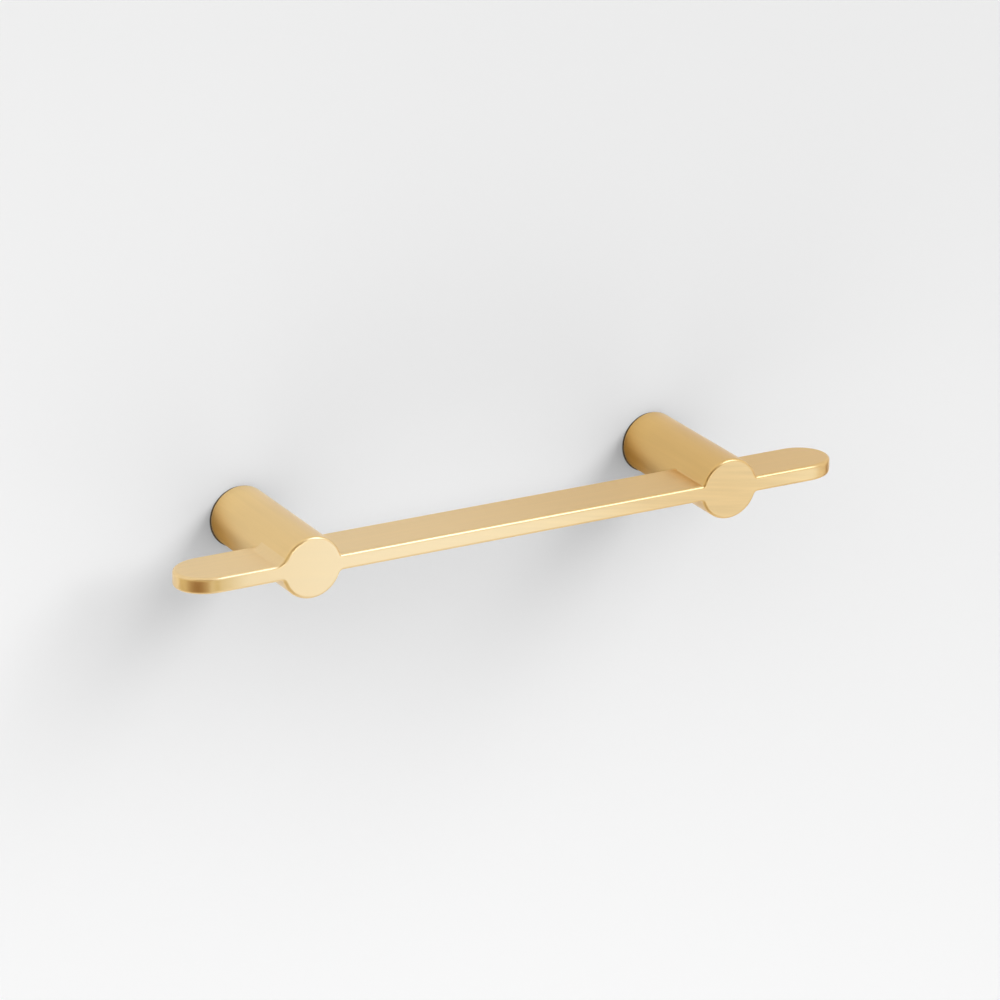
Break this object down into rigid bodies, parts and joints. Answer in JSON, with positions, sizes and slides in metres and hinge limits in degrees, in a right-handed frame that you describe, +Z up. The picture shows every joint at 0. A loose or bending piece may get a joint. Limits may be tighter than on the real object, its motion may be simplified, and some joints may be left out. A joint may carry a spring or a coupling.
{
  "type": "bar pull",
  "caption": "Satin brass bar pull: a flat bar with rounded tips, flush with the front faces of the round posts that hold it off a drawer front.",
  "frame": {"origin": "in the mounting plane, midway between the two fixing holes", "axes": "+X along the bar, +Y into the drawer front, +Z up"},
  "size_m": [0.15, 0.032, 0.013],
  "materials": {
    "satin_brass": "brushed"
  },
  "bodies": {
    "root": {"bar_pull": "satin_brass"}
  },
  "joints": []
}
